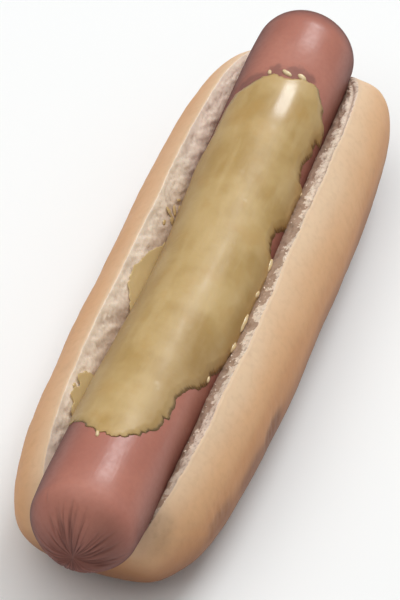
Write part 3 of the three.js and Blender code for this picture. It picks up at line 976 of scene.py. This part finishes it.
# Averages a value over a mesh a few times, each corner with its neighbours.
def smoothed(values, faces, times):
    pairs = np.concatenate([faces[:, [0, 1]], faces[:, [1, 2]], faces[:, [2, 0]]])
    count = np.bincount(pairs.ravel(), minlength=len(values))
    for _ in range(times):
        total = np.bincount(pairs[:, 0], values[pairs[:, 1]], len(values))
        total += np.bincount(pairs[:, 1], values[pairs[:, 0]], len(values))
        values = (values + total / np.maximum(count, 1)) / 2
    return values


def mustardMesh():
    s = mustardSettings
    loop = mustardOutline()
    edgeTree = kdtree.KDTree(len(loop))
    for k, (x, y) in enumerate(loop):
        edgeTree.insert((x, y, 0), k)
    edgeTree.balance()
    points = np.concatenate([loop, fillLoop(loop, edgeTree)])
    rimEdges = [(k, (k + 1) % len(loop)) for k in range(len(loop))]
    corners = [Vector(point) for point in points]
    flat, _, faces = geometry.delaunay_2d_cdt(corners, rimEdges, [], 0, 1e-7, False)[:3]
    flat, faces = np.array([tuple(v) for v in flat]), np.array([tuple(f) for f in faces])
    fromEdge = awayFrom(edgeTree, flat)
    edge = fromEdge < 1e-4
    # triangles that only touch the edge may lie in a notch outside it
    keep = ~edge[faces].all(axis=1)
    doubtful = np.nonzero(~keep)[0]
    keep[doubtful] = insideLoop(loop, flat[faces[doubtful]].mean(axis=1))
    faces = faces[keep]

    degrees = flat[:, 0] / s["mmPerDegree"]
    wet = np.zeros(len(flat))
    for y, angle, alongSize, roundSize, amount in s["wet"]:
        near = np.exp(-(((flat[:, 1] - y) / alongSize) ** 4 + np.abs((degrees - angle) / roundSize) ** 3))
        wet = np.maximum(wet, amount * near)
    # the coat is smoother round the wettest place
    y, angle, alongSize, roundSize = s["wet"][0][:4]
    pool = np.exp(-((flat[:, 1] - y) / alongSize / 1.6) ** 2 - ((degrees - angle) / roundSize / 2) ** 2)
    spots = columns(*flat.T, 2.0)
    lumps = s["lumps"] * noiseAt(spots, 9.0, 1) + 0.03 * noiseAt(spots * [1, 0.4, 1], 2.4, 2, 3.0)
    full = s["thickness"] + (1 - 0.8 * pool) * lumps
    rounded = np.sqrt(np.clip(1 - (1 - np.clip(fromEdge / s["rim"], 0, 1)) ** 2, 0, 1))
    rounded = np.where(edge, 0, smoothed(rounded, faces, 8))
    bead = s["bead"] * bell(fromEdge, 0.9, 0.5)
    onWall = smoothstep(-s["cornerAngle"], -s["wallAngle"], degrees)
    lift = s["gap"] + (full + bead) * rounded
    outer = coatPoints(flat[:, 1], degrees, lift, s["wallExtra"] * onWall * rounded)
    inner = coatPoints(flat[:, 1], degrees, np.full(len(flat), s["gap"]))
    count = len(flat)
    back = np.where(edge, np.arange(count), np.arange(count) + count)
    faces = np.concatenate([faces, back[faces][:, ::-1]])
    wet, fromEdge, onWall = (np.tile(values, 2) for values in (wet, fromEdge, onWall))
    points = np.concatenate([outer, inner])
    return meshFrom("mustardCoat", points, faces, 2e-6, wet=wet, fromEdge=fromEdge, onWall=onWall)


def mustardMaterial(name, spread):
    material, tree, shader, coords = newMaterial(name)
    x, y, _ = xyz(coords)
    broad, _ = mottle(coords, 12.0, 3.0, 0.35, 0.65)
    warm, _ = mottle(coords, 5.5, 3.0, 0.5, 0.7)
    streak, streakRaw = mottle(coords, 3.0, 3.0, 0.42, 0.72, squeeze=(1, 0.25, 1))
    base = layered(
        (178, 144, 84),
        (broad, (197, 166, 111)),
        (streak * 0.35, (212, 184, 134)),
        (warm * 0.32, (188, 146, 80)))
    if spread:
        glint, _ = mottle(coords, 2.6, 2.0, 0.66, 0.74)
        turned = addNode(tree, "ShaderNodeLayerWeight", {"Blend": 0.4}, "Facing")
        base = layered(
            base,
            # painted light: paler on the crumb wall, which lies in shade; painted shade where the coat turns
            # away towards its outline
            (attribute(tree, "onWall") * 0.7, (226, 204, 154)),
            (turned.ramp(0.15, 0.8, 0.0, 0.42), (142, 106, 62)),
            # painted shade low on the near right; darker along its edge, partly the thinner film and partly
            # a painted shadow line
            (x.ramp(2 * mm, 8 * mm, 0.0, 0.4) * y.ramp(-14 * mm, -32 * mm), (146, 110, 66)),
            (attribute(tree, "fromEdge").ramp(0.05, 0.35, 0.18, 0.0), (142, 104, 58)))
        wetness = attribute(tree, "wet").maths("MAXIMUM", glint * 0.3)
    else:
        # paler beads: lighter sauce and painted light, least so on the left crumb
        base = layered(base, (x.ramp(-11 * mm, -9 * mm, 0.35, 0.7), (238, 216, 172)))
        wetness = 0.8
    dull = streakRaw.ramp(0.3, 0.7, 0.44, 0.56) * (1.0 - wetness)
    _, fine = mottle(coords, 2.2, 3.0)
    addBump(shader, fine * (1.0 - wetness), 0.08)
    feed(shader, {
        "Base Color": base, "Roughness": dull + wetness * 0.12,
        "Subsurface Weight": 0.12, "Subsurface Radius": (0.003, 0.002, 0.0006)})
    return material


addPiece("mustardCoat", mustardMesh(), mustardMaterial("wetMustard", True), "mustard", "mustard")

# Small beads and smears of mustard: y, degrees, length, width, height, turn, how deep they sit.
dropSettings = dict(
    seed=3.0, unevenness=0.16, swellSize=1.1, wallSink=0.5, wallProud=0.2,
    spots=[
        (7.3, 71, 4.2, 1.4, 1.1, 4, 0.1), (-1.8, 71, 2.4, 1.1, 0.9, -8, 0.1),
        (-10.5, 72, 5.4, 1.4, 1.1, 3, 0.1), (-17.6, 74, 3.2, 1.6, 1.2, -7, 0.1),
        (32, 76, 1.4, 1.0, 0.9, 20, 0.1), (-30.4, 61, 1.6, 0.8, 0.7, 10, 0.1),
        (56.6, 4.5, 2.8, 1.2, 1.1, 66, 0.3), (57.2, 17.5, 2.3, 1.4, 1.1, 75, 0.3),
        (55.8, -10, 1.5, 0.9, 0.9, 20, 0.25), (-59.3, -9, 1.6, 0.9, 0.9, 15, 0.25),
        (17.3, -136, 2.8, 1.0, 0.3, 70, -0.25), (18.9, -130, 2.6, 1.1, 0.3, 35, -0.25),
        (20.6, -124, 1.8, 1.2, 0.3, 15, -0.25), (16.3, -128, 2.2, 1.5, 0.3, 30, -0.25),
        (22.2, -130, 1.3, 0.7, 0.3, -40, -0.25), (13.8, -137, 1.4, 1.0, 0.3, 0, -0.25),
        (-39.9, -141, 1.1, 1.0, 0.45, 0, -0.2),
    ],
)


# Each spot is a point that carries the size and turn of the bead to set on it.
def dropCarrier():
    places, sizes, turns = [], [], []
    for y, degrees, length, width, height, turn, sink in dropSettings["spots"]:
        onWall = degrees < -mustardSettings["cornerAngle"]
        lift = np.array([mustardSettings["thickness"] - sink - dropSettings["wallSink"] * onWall])
        proud = dropSettings["wallProud"] * onWall

        def coatAt(y, degrees):
            return coatPoints(np.array([y]), np.array([degrees]), lift, proud)[0]

        here = coatAt(y, degrees)
        along = Vector(coatAt(y + 0.1, degrees) - here).normalized()
        out = Vector(coatAt(y, degrees + 0.5) - here).cross(along).normalized()
        if onWall and out.x < 0 or not onWall and out.z < -0.5:
            out = -out
        along = Matrix.Rotation(math.radians(turn), 3, out) @ along
        across = along.cross(out)
        turns.append(Matrix((across, along, out)).transposed().to_euler())
        places.append(Vector(here) * mm)
        sizes.append(Vector((width, length, height)) / 2 * mm)
    mesh = bpy.data.meshes.new("dropCarrier")
    mesh.from_pydata(places, [], [])
    for name, values in (("dropSize", sizes), ("dropTurn", turns)):
        layer = mesh.attributes.new(name, "FLOAT_VECTOR", "POINT")
        layer.data.foreach_set("vector", np.array([tuple(v) for v in values], dtype=np.float32).ravel())
    return mesh


def buildDropTree():
    s = dropSettings
    tree, given, end = newShapeTree("setDrops", unevenness=s["unevenness"], seed=s["seed"], sauce="Material")
    ball = shapeNode(tree, "MeshIcoSphere", {"Radius": 1.0, "Subdivisions": 4}, "Mesh")
    turn, size = (
        shapeNode(tree, "InputNamedAttribute", {"Name": name}, "Attribute", data_type="FLOAT_VECTOR")
        for name in ("dropTurn", "dropSize"))
    beads = {"Points": given.geometry, "Instance": ball, "Rotation": turn, "Scale": size}
    shape = shapeNode(tree, "InstanceOnPoints", beads)
    here = shapeNode(tree, "InputPosition")
    waves = {"Vector": here, "W": given.seed, "Scale": 1000 / s["swellSize"], "Detail": 1.0}
    swell = addNode(tree, "ShaderNodeTexNoise", waves, noise_dimensions="4D")
    amount = (swell - 0.5) * given.unevenness * (2 * mm)
    offset = shapeNode(tree, "InputNormal").scaled(amount)
    shape = shape.through("RealizeInstances").through("SetPosition", Offset=offset)
    closeTree(shape, given.sauce, end)
    return tree


sauce = mustardMaterial("mustardBead", False)
dropMesh = growMesh("mustardDrops", buildDropTree(), dict(sauce=sauce), dropCarrier())
addPiece("mustardDrops", dropMesh, sauce, "mustard")

fleckSettings = dict(
    density=620000.0, smallest=0.12, largest=0.36, seed=11,
    # how far a crumb is stretched along its three axes
    stretch=[(0.9, 1.7), (0.6, 1.1), (0.4, 0.8)],
)


# The roll's mesh again, with how much each place sheds: at the border of the painted shade band, on the
# right.
def fleckCarrier():
    mesh = roll.data.copy()
    crumb, stain = np.zeros((2, len(mesh.vertices)), dtype=np.float32)
    for name, values in (("crumb", crumb), ("stain", stain)):
        mesh.attributes[name].data.foreach_get("value", values)
    onRight = np.array([v.co.x > 0 for v in mesh.vertices])
    storeValues(mesh, "shed", (crumb > 0.99) * onRight * bell(stain, 0.5, 0.3))
    return mesh


# Loose crumbs caught along the torn faces of the roll.
def buildFleckTree():
    s = fleckSettings
    tree, given, end = newShapeTree(
        "scatterFlecks", density=s["density"], smallestMm=s["smallest"], largestMm=s["largest"],
        seed=s["seed"], bread="Material")
    shed = shapeNode(tree, "InputNamedAttribute", {"Name": "shed"}, "Attribute")
    spread = {"Mesh": given.geometry, "Density": shed * given.density, "Seed": given.seed}
    points = shapeNode(tree, "DistributePointsOnFaces", spread, "Points")
    flake = shapeNode(tree, "MeshIcoSphere", {"Radius": mm, "Subdivisions": 1}, "Mesh")

    def draw(low, high, offset):
        lowest, highest, number = 2, 3, 1
        drawn = {lowest: low, highest: high, "Seed": given.seed + offset}
        return addNode(tree, "FunctionNodeRandomValue", drawn, number, data_type="FLOAT")

    size = draw(given.smallestMm, given.largestMm, 1)
    stretch = combine(*(draw(low, high, 2 + k) for k, (low, high) in enumerate(s["stretch"])))
    turn = combine(*(draw(0, 6.28, 5 + k) for k in range(3)))
    flecks = {"Points": points, "Instance": flake, "Rotation": turn, "Scale": stretch.scaled(size)}
    closeTree(shapeNode(tree, "InstanceOnPoints", flecks), given.bread, end)
    return tree


def fleckMaterial():
    material, _, shader, coords = newMaterial("looseCrumb")
    tone, _ = mottle(coords, 3.0, 2.0, 0.4, 0.65)
    bread = placeGroup(crumbGroup, vector=coords, hollow=tone * 0.3)
    feed(shader, {"Base Color": bread["Color"], "Roughness": 0.95})
    return material


crumbPaint = fleckMaterial()
fleckMesh = growMesh("crumbFlecks", buildFleckTree(), dict(bread=crumbPaint), fleckCarrier())
addPiece("crumbFlecks", fleckMesh, crumbPaint, "bread")
